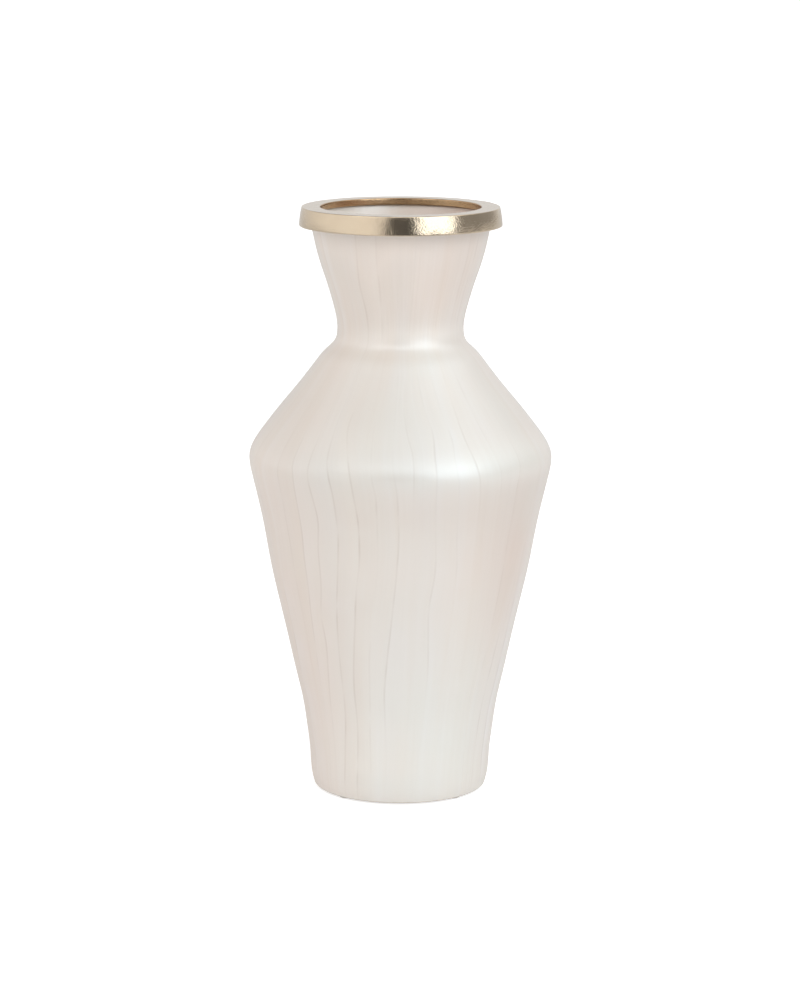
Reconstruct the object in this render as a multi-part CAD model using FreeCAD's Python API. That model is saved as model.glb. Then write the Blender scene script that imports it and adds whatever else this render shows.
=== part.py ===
import FreeCAD, Part
import math
import os

# Tall trumpet-necked porcelain vase with a cast metal rim collar.
# Millimetres, +Z up, origin on the resting plane under the vase's own axis.
#
# The ceramic is one slip-cast shell of even wall, closed at the foot. The foot is a ring with a recessed
# base inside it. A cast metal collar caps the lip: its flange covers the lip's top and runs inwards past it,
# and its skirt hangs down outside the lip. The collar is held by a cured adhesive bed between flange, skirt
# and lip. Four felt discs under the foot ring keep the vase off the table.

# ---------------------------------------------------------------- driving dimensions
PAD_T = 1.2              # felt pad thickness: the foot ring's flat is this far above the resting plane
PAD_R = 5.5
PAD_RING_R = 51.3        # pads stand on this radius, in the middle of the foot ring's flat
PAD_COUNT = 4

WALL = 5.0               # ceramic wall, measured square to the surface
FOOT_FLAT_IN = 45.0      # foot ring's flat, from this radius ...
FOOT_FLAT_OUT = 57.6     # ... to this one
FOOT_EDGE_R = 2.5        # rounded outer edge of the foot
FOOT_IN_EDGE_R = 1.5     # rounded inner edge of the foot ring
RECESS_H = 5.0           # recess inside the foot ring
RECESS_FILLET = 2.5
FLOOR_T = 7.0            # thickness of the base
FLOOR_CORNER_R = 11.0    # inside corner between floor and wall

LIP_Z = 400.9            # top of the ceramic lip above the foot ring's flat
LIP_ROUND = 0.9

COLLAR_H = 12.9          # collar, skirt bottom to flange top
COLLAR_TOP_Z = 406.0     # above the foot ring's flat
COLLAR_IN_R = 55.2       # the mouth: clear bore through the flange
COLLAR_OUT_R = 69.4      # widest point of the skirt, at its lower edge
COLLAR_ARRIS_R = 67.7    # top of the skirt, where it meets the flange's top
COLLAR_REBATE_R = 64.6   # inside of the skirt
FLANGE_T = 4.6
BED_IN_R = 59.0          # adhesive: inner edge of the bed on the lip
BED_LOW_Z = 395.0        # adhesive: lower edge in the gap behind the skirt

# Outside of the ceramic: height above the foot ring's flat, radius. Foot, long flared body, rounded shoulder
# edge, sloping shoulder, tight neck root, trumpet neck.
OUTSIDE = [
    (1.8, 59.97), (5.0, 60.90), (10.0, 61.81), (16.0, 62.36), (22.0, 62.68), (30.0, 63.38), (40.0, 64.70),
    (52.0, 66.36), (64.0, 68.47), (76.0, 71.25), (90.0, 74.48), (105.0, 77.77), (120.0, 81.15), (135.0, 84.61),
    (150.0, 88.02), (165.0, 90.99), (180.0, 93.60), (192.0, 95.92), (204.0, 98.63), (214.0, 101.01),
    (222.0, 102.92), (228.0, 104.15), (232.5, 104.60), (237.0, 104.13), (242.0, 102.21), (248.0, 98.53),
    (256.0, 92.64), (266.0, 84.88), (276.0, 76.62), (286.0, 68.44), (294.0, 62.30), (300.0, 57.80),
    (304.0, 54.72), (307.0, 51.95), (310.0, 48.68), (313.0, 45.90), (316.0, 44.34), (319.5, 43.65),
    (324.0, 43.52), (330.0, 44.21), (337.0, 45.76), (345.0, 47.99), (353.0, 50.41), (361.0, 53.10),
    (369.0, 55.74), (377.0, 57.96), (385.0, 59.77), (393.0, 61.42), (400.0, 62.80),
]


def v(r, z):
    """A point of the turned section: radius r, height z above the foot ring's flat."""
    return FreeCAD.Vector(r, 0, z + PAD_T)


def line(a, b):
    return Part.LineSegment(v(*a), v(*b)).toShape()


def arc(a, m, b):
    return Part.Arc(v(*a), v(*m), v(*b)).toShape()


def corner(c, rad, a_deg, b_deg):
    """Arc of radius rad about c, from angle a_deg to b_deg, degrees from +r towards +z."""
    def p(t):
        t = math.radians(t)
        return (c[0] + rad * math.cos(t), c[1] + rad * math.sin(t))
    return arc(p(a_deg), p((a_deg + b_deg) / 2), p(b_deg))


def spline(points):
    s = Part.BSplineCurve()
    s.interpolate([v(r, z) for r, z in points])
    return s


def turn(edges):
    """Solid of revolution about Z from a closed section."""
    wire = Part.Wire(Part.__sortEdges__(edges))
    assert wire.isClosed()
    solid = Part.Face(wire).revolve(FreeCAD.Vector(0, 0, 0), FreeCAD.Vector(0, 0, 1), 360)
    if solid.ShapeType != "Solid":
        solid = Part.Solid(Part.Shell(solid.Faces))
    solid.fix(1e-6, 1e-6, 1e-6)
    if solid.Volume < 0:
        solid.reverse()
    assert solid.isValid() and len(solid.Solids or [solid]) == 1
    return solid


# ---------------------------------------------------------------- ceramic body
def vase_body():
    # Outside: from the end of the foot's rounded edge to just under the lip.
    edge_c = (FOOT_FLAT_OUT, FOOT_EDGE_R)
    edge_a = -17.0
    edge_end = (edge_c[0] + FOOT_EDGE_R * math.cos(math.radians(edge_a)),
                edge_c[1] + FOOT_EDGE_R * math.sin(math.radians(edge_a)))
    pts = [(r, z) for z, r in OUTSIDE]
    pts[0] = edge_end
    out = spline(pts)

    # Inside: the outside moved in by the wall, down to the floor's corner.
    inner = []
    for r, z in pts:
        if z < 28.0 or z > 396.0:
            continue
        u = out.parameter(v(r, z))
        t = out.tangent(u)
        t = t[0] if isinstance(t, (list, tuple)) else t
        inner.append((r - WALL * t.z, z + WALL * t.x))
    floor_z = RECESS_H + FLOOR_T
    wall_r = inner[0][0] - 0.55
    cc = (wall_r - FLOOR_CORNER_R, floor_z + FLOOR_CORNER_R)
    foot = [(cc[0] + FLOOR_CORNER_R * math.cos(math.radians(a)), cc[1] + FLOOR_CORNER_R * math.sin(math.radians(a)))
            for a in range(-90, 1, 15)]
    lip_o = pts[-1]
    lip_i = (lip_o[0] - WALL / math.cos(math.radians(11.0)), lip_o[1])
    inner = foot + inner + [lip_i]
    ins = spline(inner)
    top_o, top_i = (lip_o[0] - LIP_ROUND + 0.15, LIP_Z), (lip_i[0] + LIP_ROUND + 0.15, LIP_Z)
    k = LIP_ROUND * 0.29
    edges = [
        line((0, RECESS_H), (FOOT_FLAT_IN - FOOT_IN_EDGE_R - RECESS_FILLET, RECESS_H)),
        corner((FOOT_FLAT_IN - FOOT_IN_EDGE_R - RECESS_FILLET, RECESS_H - RECESS_FILLET), RECESS_FILLET, 90, 0),
        line((FOOT_FLAT_IN - FOOT_IN_EDGE_R, RECESS_H - RECESS_FILLET), (FOOT_FLAT_IN - FOOT_IN_EDGE_R, FOOT_IN_EDGE_R)),
        corner((FOOT_FLAT_IN, FOOT_IN_EDGE_R), FOOT_IN_EDGE_R, 180, 270),
        line((FOOT_FLAT_IN, 0), (FOOT_FLAT_OUT, 0)),
        corner(edge_c, FOOT_EDGE_R, -90, edge_a),
        out.toShape(),
        arc(lip_o, (lip_o[0] - k * 0.75, LIP_Z - k), top_o),
        line(top_o, top_i),
        arc(top_i, (lip_i[0] + k * 1.25, LIP_Z - k), lip_i),
        ins.toShape(),
        line(inner[0], (0, floor_z)),
        line((0, floor_z), (0, RECESS_H)),
    ]
    return turn(edges)


# ---------------------------------------------------------------- metal collar
def rim_collar():
    top = COLLAR_TOP_Z
    low = top - COLLAR_H
    under = top - FLANGE_T
    ri, rb, ro = COLLAR_IN_R, COLLAR_REBATE_R, COLLAR_OUT_R
    edges = [
        # mouth
        line((ri, under + 0.5), (ri, top - 0.6)),
        corner((ri + 0.6, top - 0.6), 0.6, 180, 90),
        # flat flange top with a crisp arris
        line((ri + 0.6, top), (COLLAR_ARRIS_R - 0.5, top)),
        corner((COLLAR_ARRIS_R - 0.5, top - 0.5), 0.5, 90, 0),
        # skirt: a slightly bowed cone, widest at its lower edge
        arc((COLLAR_ARRIS_R, top - 0.5), (68.85, top - 6.6), (ro, low + 0.5)),
        corner((ro - 0.5, low + 0.5), 0.5, 0, -90),
        # underside, rebate and flange ceiling
        line((ro - 0.5, low), (rb + 0.6, low)),
        corner((rb + 0.6, low + 0.6), 0.6, 270, 180),
        line((rb, low + 0.6), (rb, under - 0.5)),
        corner((rb - 0.5, under - 0.5), 0.5, 0, 90),
        line((rb - 0.5, under), (ri + 0.5, under)),
        corner((ri + 0.5, under + 0.5), 0.5, 270, 180),
    ]
    return turn(edges)


# ---------------------------------------------------------------- adhesive between lip and collar
def rim_adhesive(body, collar):
    top = COLLAR_TOP_Z - FLANGE_T
    edges = [
        line((BED_IN_R, top), (COLLAR_REBATE_R, top)),
        line((COLLAR_REBATE_R, top), (COLLAR_REBATE_R, BED_LOW_Z)),
        line((COLLAR_REBATE_R, BED_LOW_Z), (60.3, BED_LOW_Z)),
        line((60.3, BED_LOW_Z), (60.3, top - 1.5)),
        line((60.3, top - 1.5), (BED_IN_R, top - 1.0)),
        line((BED_IN_R, top - 1.0), (BED_IN_R, top)),
    ]
    bed = turn(edges).cut(body).cut(collar)
    solids = sorted(bed.Solids, key=lambda s: -s.Volume)
    return solids[0]


# ---------------------------------------------------------------- felt pads under the foot ring
def foot_pads():
    pads = []
    for i in range(PAD_COUNT):
        a = math.radians(45 + 360.0 / PAD_COUNT * i)
        c = FreeCAD.Vector(PAD_RING_R * math.cos(a), PAD_RING_R * math.sin(a), 0)
        disc = Part.makeCylinder(PAD_R, PAD_T, c)
        disc = disc.makeChamfer(0.2, [e for e in disc.Edges if e.BoundBox.ZMax < 1e-6])
        pads.append(disc.Solids[0])
    return Part.makeCompound(pads)


body = vase_body()
collar = rim_collar()
nodes = {
    "vase_body": body,
    "rim_collar": collar,
    "rim_adhesive": rim_adhesive(body, collar),
    "foot_pads": foot_pads(),
}

os.makedirs("parts", exist_ok=True)
for name, shape in nodes.items():
    shape.exportStep("parts/" + name + ".step")
    b = shape.BoundBox
    print("%-14s solids %d  volume %.1f cm3  z %.2f..%.2f  r %.2f  valid %s" % (
        name, len(shape.Solids), shape.Volume / 1000, b.ZMin, b.ZMax, b.XMax, shape.isValid()))

names = list(nodes)
for i, a in enumerate(names):
    for b in names[i + 1:]:
        common = nodes[a].common(nodes[b])
        gap = nodes[a].distToShape(nodes[b])[0]
        print("%s / %s: overlap %.4f mm3, gap %.3f mm" % (a, b, common.Volume, gap))
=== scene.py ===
import math

import bpy
import numpy as np
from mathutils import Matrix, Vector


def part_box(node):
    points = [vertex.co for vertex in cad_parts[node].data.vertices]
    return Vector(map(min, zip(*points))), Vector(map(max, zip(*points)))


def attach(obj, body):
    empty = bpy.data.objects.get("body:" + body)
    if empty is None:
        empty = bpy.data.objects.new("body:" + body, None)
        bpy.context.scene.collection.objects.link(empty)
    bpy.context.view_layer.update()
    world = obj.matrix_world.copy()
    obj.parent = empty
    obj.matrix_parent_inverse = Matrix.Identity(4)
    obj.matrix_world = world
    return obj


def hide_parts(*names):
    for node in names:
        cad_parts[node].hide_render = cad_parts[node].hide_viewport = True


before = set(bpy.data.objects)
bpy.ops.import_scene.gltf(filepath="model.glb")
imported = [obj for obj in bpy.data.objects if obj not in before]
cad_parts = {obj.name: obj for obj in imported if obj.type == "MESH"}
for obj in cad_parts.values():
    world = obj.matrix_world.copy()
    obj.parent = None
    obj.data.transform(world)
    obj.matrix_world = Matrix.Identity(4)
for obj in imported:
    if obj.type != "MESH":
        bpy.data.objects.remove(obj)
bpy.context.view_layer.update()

MM = 0.001
LIFT = float(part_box("vase_body")[0].z) / MM        # the foot ring's flat stands this far above the floor, on the pads
RNG = np.random.default_rng(20417)

# ------------------------------------------------------------------ turned sections, millimetres, above the foot flat
OUTSIDE = np.array([
    (1.77, 59.99), (5.0, 60.90), (10.0, 61.81), (16.0, 62.36), (22.0, 62.68), (30.0, 63.38), (40.0, 64.70),
    (52.0, 66.36), (64.0, 68.47), (76.0, 71.25), (90.0, 74.48), (105.0, 77.77), (120.0, 81.15), (135.0, 84.61),
    (150.0, 88.02), (165.0, 90.99), (180.0, 93.60), (192.0, 95.92), (204.0, 98.63), (214.0, 101.01),
    (222.0, 102.92), (228.0, 104.15), (232.5, 104.60), (237.0, 104.13), (242.0, 102.21), (248.0, 98.53),
    (256.0, 92.64), (266.0, 84.88), (276.0, 76.62), (286.0, 68.44), (294.0, 62.30), (300.0, 57.80),
    (304.0, 54.72), (307.0, 51.95), (310.0, 48.68), (313.0, 45.90), (316.0, 44.34), (319.5, 43.65),
    (324.0, 43.52), (330.0, 44.21), (337.0, 45.76), (345.0, 47.99), (353.0, 50.41), (361.0, 53.10),
    (369.0, 55.74), (377.0, 57.96), (385.0, 59.77), (393.0, 61.42), (400.0, 62.80)])
WALL, LIP_Z, LIP_ROUND = 5.0, 400.9, 0.9
RECESS_H, FLOOR_Z, CORNER_R = 5.0, 12.0, 11.0


class Spline:
    """Natural cubic spline y(x)."""

    def __init__(self, x, y):
        x, y = np.asarray(x, float), np.asarray(y, float)
        n, h = len(x), np.diff(x)
        a = np.eye(n)
        b = np.zeros(n)
        for i in range(1, n - 1):
            a[i, i - 1], a[i, i], a[i, i + 1] = h[i - 1], 2 * (h[i - 1] + h[i]), h[i]
            b[i] = 6 * ((y[i + 1] - y[i]) / h[i] - (y[i] - y[i - 1]) / h[i - 1])
        self.x, self.y, self.m, self.h = x, y, np.linalg.solve(a, b), h

    def __call__(self, t, d=0):
        t = np.asarray(t, float)
        i = np.clip(np.searchsorted(self.x, t) - 1, 0, len(self.h) - 1)
        h, u, w = self.h[i], self.x[i + 1] - t, t - self.x[i]
        m0, m1, y0, y1 = self.m[i], self.m[i + 1], self.y[i], self.y[i + 1]
        if d == 0:
            return m0 * u**3 / (6 * h) + m1 * w**3 / (6 * h) + (y0 / h - m0 * h / 6) * u + (y1 / h - m1 * h / 6) * w
        return -m0 * u**2 / (2 * h) + m1 * w**2 / (2 * h) - (y0 / h - m0 * h / 6) + (y1 / h - m1 * h / 6)


side = Spline(OUTSIDE[:, 0], OUTSIDE[:, 1])


def arc(c, rad, a0, a1, n):
    t = np.radians(np.linspace(a0, a1, n))
    return np.stack([c[0] + rad * np.cos(t), c[1] + rad * np.sin(t)], 1)


def smooth_noise(n_wave, amp_falloff, rng, lo=1):
    """Random periodic function of an angle: returns f(theta), zero mean, about unit size."""
    k = np.arange(lo, n_wave + 1)
    a = rng.normal(size=len(k)) / k**amp_falloff
    p = rng.uniform(0, 2 * np.pi, len(k))
    s = 1 / math.sqrt(float((a**2).sum()) / 2)
    return lambda th: s * np.sum(a * np.cos(np.multiply.outer(th, k) + p), -1)


# ------------------------------------------------------------------ mesh helpers
class Builder:
    """Collects vertices, faces, per-vertex values and per-corner UVs for one mesh."""

    def __init__(self):
        self.v, self.f, self.uv, self.attr = [], [], [], {}
        self.n = 0

    def ring(self, pts, **attr):
        """Adds vertices (k, 3) in millimetres; returns their indices."""
        pts = np.asarray(pts, float)
        ids = np.arange(self.n, self.n + len(pts))
        self.v.append(pts)
        for key, val in attr.items():
            self.attr.setdefault(key, {})[self.n] = np.broadcast_to(np.asarray(val, float), (len(pts),) + np.shape(val)[1:] if np.ndim(val) > 1 else (len(pts),)).copy()
        self.n += len(pts)
        return ids

    def quads(self, a, b, uva, uvb):
        """Faces between closed rings a and b of the same count; uva and uvb are (count + 1, 2), the last for the seam."""
        k = len(a)
        j = (np.arange(k) + 1) % k
        f = np.stack([a, a[j], b[j], b], 1)
        self.f.extend(map(tuple, f))
        uv = np.stack([uva[:k], uva[1:k + 1], uvb[1:k + 1], uvb[:k]], 1)
        self.uv.extend(uv.reshape(-1, 2))

    def bridge(self, a, tha, b, thb, uva, uvb):
        """Triangles between closed rings of different counts, by angle. tha and thb rise over one turn."""
        na, nb = len(a), len(b)
        i = j = 0
        while i < na or j < nb:
            ta = tha[i + 1] if i + 1 < na else tha[0] + 2 * np.pi
            tb = thb[j + 1] if j + 1 < nb else thb[0] + 2 * np.pi
            if j >= nb or (i < na and ta <= tb):
                self.f.append((a[i], a[(i + 1) % na], b[j % nb]))
                self.uv.extend([uva[i], uva[i + 1], uvb[min(j, nb)]])
                i += 1
            else:
                self.f.append((a[i % na], b[(j + 1) % nb], b[j]))
                self.uv.extend([uva[min(i, na)], uvb[j + 1], uvb[j]])
                j += 1

    def fan(self, ring, centre, uvr, uvc, flip=False):
        k = len(ring)
        for i in range(k):
            t = (ring[i], ring[(i + 1) % k], centre)
            u = [uvr[i], uvr[i + 1], uvc]
            if flip:
                t, u = t[::-1], u[::-1]
            self.f.append(t)
            self.uv.extend(u)

    def mesh(self, name, outward=None):
        v = np.concatenate(self.v) * MM
        me = bpy.data.meshes.new(name)
        me.from_pydata(v.tolist(), [], [tuple(int(i) for i in f) for f in self.f])
        uv = me.uv_layers.new(name="OFBake")
        uv.data.foreach_set("uv", np.asarray(self.uv, np.float32).ravel())
        for key, parts in self.attr.items():
            first = next(iter(parts.values()))
            if first.ndim == 2:
                full = np.zeros((self.n, 3), np.float32)
                at = me.attributes.new(key, "FLOAT_VECTOR", "POINT")
            else:
                full = np.zeros(self.n, np.float32)
                at = me.attributes.new(key, "FLOAT", "POINT")
            for start, val in parts.items():
                full[start:start + len(val)] = val
            at.data.foreach_set("vector" if first.ndim == 2 else "value", full.ravel())
        me.update()
        me.validate()
        for p in me.polygons:
            p.use_smooth = True
        o = bpy.data.objects.new(name, me)
        bpy.context.scene.collection.objects.link(o)
        return o


# ------------------------------------------------------------------ veins of the glaze
# Each vein runs the whole height as (height, degrees) stations, 0 facing -Y, positive towards +X; its strength fades
# in and out along the height, and it is a shallow groove where it is strong.
def vein(path, strength):
    p = np.array(sorted(path), float)
    s = np.array(sorted(strength), float)
    return p, s


FRONT = [
    vein([(0, -53.5), (60, -53.8), (130, -52.5), (198, -52.5), (213, -52), (245, -52.5), (300, -55), (330, -54), (401, -55)],
         [(0, .1), (120, .25), (190, .5), (220, .6), (240, .5), (262, .15), (300, .05), (401, .05)]),
    vein([(0, -50), (60, -48.8), (134, -46), (156, -44.5), (174, -44.5), (196, -43.5), (215, -43.5), (232, -43.5), (241, -44.5), (300, -46), (330, -44), (401, -45)],
         [(0, .1), (60, .2), (110, .5), (134, .9), (241, .95), (250, .5), (262, .2), (300, .1), (340, .2), (401, .2)]),
    vein([(0, -44.5), (62, -43.5), (90, -41), (116, -39), (130, -39.5), (158, -36.5), (182, -36), (203, -34), (217, -35), (236, -36.5), (262, -37), (300, -37.5), (330, -38), (401, -38.5)],
         [(0, .2), (55, .5), (90, .8), (236, 1.), (246, .6), (262, .2), (300, .05), (401, .1)]),
    vein([(0, -38), (21, -37), (58, -33.5), (73, -32.5), (102, -32), (132, -30.5), (165, -27.5), (200, -25.5), (222, -26), (236, -27.5), (248, -29.5), (270, -30.5), (300, -30.5), (328, -30), (342, -30.5), (356, -32.5), (372, -31), (392, -30), (401, -30)],
         [(0, .3), (21, .7), (60, 1.), (240, 1.), (250, .7), (262, .3), (300, .15), (322, .5), (335, .85), (385, .9), (401, .9)]),
    vein([(0, -28.5), (22, -27.5), (60, -25.5), (74, -25.5), (134, -21), (158, -19), (176, -17), (201, -16.5), (220, -17.5), (234, -18.5), (249, -21), (268, -24.5), (290, -21.5), (326, -16.5), (339, -16.5), (356, -16), (372, -16.5), (388, -16), (401, -16)],
         [(0, .3), (15, .7), (60, 1.), (234, 1.), (252, .8), (268, .5), (285, .15), (318, .3), (330, .6), (385, .7), (401, .6)]),
    vein([(0, -18.5), (46, -18), (76, -16.5), (105, -15.5), (120, -14), (150, -11), (187, -9), (198, -9), (220, -9), (236, -10.5), (268, -12), (300, -10), (330, -8.5), (401, -8)],
         [(0, .1), (40, .45), (76, .6), (110, .45), (128, .1), (170, .15), (187, .6), (225, .8), (240, .5), (256, .25), (275, .1), (401, .15)]),
    vein([(0, -9.5), (58, -8.5), (76, -8.5), (98, -7), (132, -4), (168, -1.5), (194, -.5), (221, -1), (250, -3), (275, -2.5), (300, -1.5), (401, -.5)],
         [(0, .1), (45, .2), (62, .6), (90, .9), (200, .95), (222, .8), (234, .3), (255, .15), (290, .25), (401, .1)]),
    vein([(0, 2), (60, 3.5), (130, 4.5), (200, 5), (241, 5), (250, 5), (262, 3), (280, 1.8), (300, 3.5), (330, 5), (401, 7)],
         [(0, .05), (180, .05), (225, .2), (238, .6), (262, .65), (272, .3), (300, .1), (401, .1)]),
    vein([(0, 11), (60, 13.5), (98, 14.5), (112, 14), (142, 13), (170, 15), (220, 13.5), (247, 13.5), (264, 14.5), (274, 12.5), (300, 11), (330, 12), (401, 14)],
         [(0, .05), (80, .15), (100, .6), (150, .75), (175, .45), (215, .35), (230, .4), (247, .8), (276, .75), (288, .25), (401, .1)]),
    vein([(0, 24), (80, 23.5), (150, 24.6), (175, 24.5), (188, 23.5), (220, 22.5), (248, 21.5), (257, 22.5), (280, 20.5), (300, 20), (330, 21), (401, 22)],
         [(0, .05), (150, .15), (168, .4), (192, .4), (215, .15), (240, .4), (257, .5), (268, .2), (401, .05)]),
    vein([(0, 33), (80, 33.5), (170, 33), (210, 32), (235, 30.5), (247, 29.5), (256, 28.5), (267, 28), (285, 28.5), (300, 29), (330, 30), (401, 30.5)],
         [(0, .05), (180, .1), (222, .3), (235, .75), (256, .8), (270, .6), (285, .2), (401, .1)]),
    vein([(0, 43), (60, 42.5), (120, 44), (190, 42), (235, 40.5), (250, 39.5), (270, 38), (300, 38), (330, 39), (401, 39)],
         [(0, .1), (100, .2), (180, .15), (235, .35), (260, .3), (285, .35), (300, .15), (401, .05)]),
]


def side_vein(deg):
    """A vein of the same kind for the parts that the front ones don't reach."""
    z = np.array([0, 40, 80, 120, 160, 200, 225, 245, 265, 285, 305, 330, 360, 401], float)
    drift = np.interp(z, [0, 60, 130, 200, 245, 401], [-7, -5.5, -2.5, 0, 0, 0]) * (0.35 + 0.65 * RNG.uniform())
    walk = np.cumsum(RNG.normal(0, 0.75, len(z)))
    walk -= np.interp(z, [0, 401], [walk[0], walk[-1]])
    lo, hi = sorted(RNG.uniform(-10, 262, 2))
    if hi - lo < 110:
        lo, hi = max(lo - 70, 0), min(hi + 70, 262)
    peak = RNG.choice([0.45, 0.7, 0.95], p=[0.3, 0.35, 0.35])
    s = [(0, .08), (401, .08)]
    s += [(max(lo, 3), .1), (min(lo + 25, 200), peak), (max(hi - 22, 30), peak), (min(hi, 290), .12)]
    if RNG.uniform() < 0.45:
        s += [(315, .1), (332, .7 * peak), (395, .75 * peak)]
    seen, out = set(), []
    for a, b in sorted(s):
        a = round(float(a), 1)
        if a not in seen:
            seen.add(a)
            out.append((a, b))
    return vein(list(zip(z, deg + drift + walk)), out)


SIDES = []
at = 51.5
while at < 360 - 62:
    SIDES.append(side_vein(at))
    at += float(RNG.uniform(6.6, 10.4))
VEINS = FRONT[1:] + SIDES + [FRONT[0]]


def pchip(x, y, t):
    """Monotone-safe cubic through (x, y)."""
    h, d = np.diff(x), np.diff(y) / np.diff(x)
    m = np.zeros_like(y)
    m[1:-1] = np.where(d[:-1] * d[1:] > 0, 2 * d[:-1] * d[1:] / np.where(d[:-1] + d[1:] == 0, 1, d[:-1] + d[1:]), 0)
    m[0], m[-1] = d[0], d[-1]
    i = np.clip(np.searchsorted(x, t) - 1, 0, len(h) - 1)
    s = (t - x[i]) / h[i]
    return ((1 + 2 * s) * (1 - s)**2 * y[i] + s * (1 - s)**2 * h[i] * m[i]
            + s * s * (3 - 2 * s) * y[i + 1] + s * s * (s - 1) * h[i] * m[i + 1])


# heights of the outer rows: closer where the section bends
def heights():
    z, out = 1.77, [1.77]
    stops = [(0, 1.6), (6, 2.6), (20, 4.2), (60, 4.6), (200, 4.4), (216, 3.0), (226, 1.9), (244, 1.9), (252, 3.2),
             (285, 3.8), (298, 2.2), (304, 1.1), (317, 1.1), (326, 2.4), (345, 4.2), (386, 4.2), (392, 2.5), (401, 2)]
    while z < 400.0:
        z += float(np.interp(z, *np.array(stops).T))
        out.append(z)
    out = np.array(out)
    return 1.77 + (out - 1.77) * (400.0 - 1.77) / (out[-1] - 1.77)


ZR = heights()
NV = len(VEINS)
PATH = np.stack([pchip(p[:, 0], p[:, 1], ZR) for p, s in VEINS], 1)      # rows x veins, degrees
order = np.argsort(PATH[np.argmin(abs(ZR - 200))] % 360)
PATH, STRENGTH = PATH[:, order] % 360, np.stack([np.interp(ZR, s[:, 0], s[:, 1]) for p, s in VEINS], 1)[:, order]
# a vein is drawn with an uneven hand: its strength wanders and breaks off here and there
for k in range(NV):
    knots = np.arange(-10, 425, 9.0)
    wander = np.clip(RNG.normal(0.72, 0.26, len(knots)), 0.12, 1.15)
    gaps = RNG.uniform(size=len(knots)) < 0.10
    wander[gaps] *= 0.25
    STRENGTH[:, k] *= pchip(knots, wander, ZR)
# keep each vein a little clear of the next one
for row in PATH:
    for k in range(1, NV):
        if row[k] - row[k - 1] < -180:
            row[k] += 360
for sweep in range(30):
    for k in range(NV):
        nxt = (k + 1) % NV
        gap = PATH[:, nxt] + (360 if nxt == 0 else 0) - PATH[:, k]
        short = np.clip(3.4 - gap, 0, None)
        PATH[:, nxt] += short * 0.5
        PATH[:, k] -= short * 0.5
for _ in range(2):
    PATH[1:-1] = 0.25 * PATH[:-2] + 0.5 * PATH[1:-1] + 0.25 * PATH[2:]

HALF = 1.0                      # half width of a vein's groove, mm
ACROSS = np.array([-1.0, -0.5, 0.0, 0.5, 1.0])
BETWEEN = 10                    # columns between one vein and the next
DEPTH = 0.09                    # groove depth where a vein is strongest, mm

radius = side(ZR)
slope = side(ZR, 1)
cols, kind, veinid, frac = [], [], [], []
for k in range(NV):
    nxt = (k + 1) % NV
    a, b = PATH[:, k], PATH[:, nxt] + (360 if nxt == 0 else 0)
    half = np.degrees(HALF / radius)
    for t in ACROSS:
        cols.append(a + t * half)
        kind.append(t)
        veinid.append(k)
        frac.append(0.0)
    for i in range(1, BETWEEN + 1):
        u = i / (BETWEEN + 1)
        cols.append(a + half + u * (b - a - 2 * half))
        kind.append(9.0)
        veinid.append(k)
        frac.append(u)
COLS = np.stack(cols, 1)        # rows x columns, degrees
kind, veinid, frac = np.array(kind), np.array(veinid), np.array(frac)
NC = len(kind)
core = np.where(kind < 5, np.clip(1 - np.abs(kind), 0, 1)**0.8, 0.0)
width = RNG.uniform(0.75, 1.15, NV)
# straightened angle: every vein sits at its mean angle, so streaks drawn in this angle follow the veins
mean_path = PATH.mean(0)
straight = np.empty(NC)
for k in range(NV):
    nxt = (k + 1) % NV
    a, b = mean_path[k], mean_path[nxt] + (360 if nxt == 0 else 0)
    m = veinid == k
    straight[m] = np.where(kind[m] < 5, a + kind[m] * 0.35, a + 0.35 + frac[m] * (b - a - 0.7))
lap_tone = RNG.normal(0, 1, NV)

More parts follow.
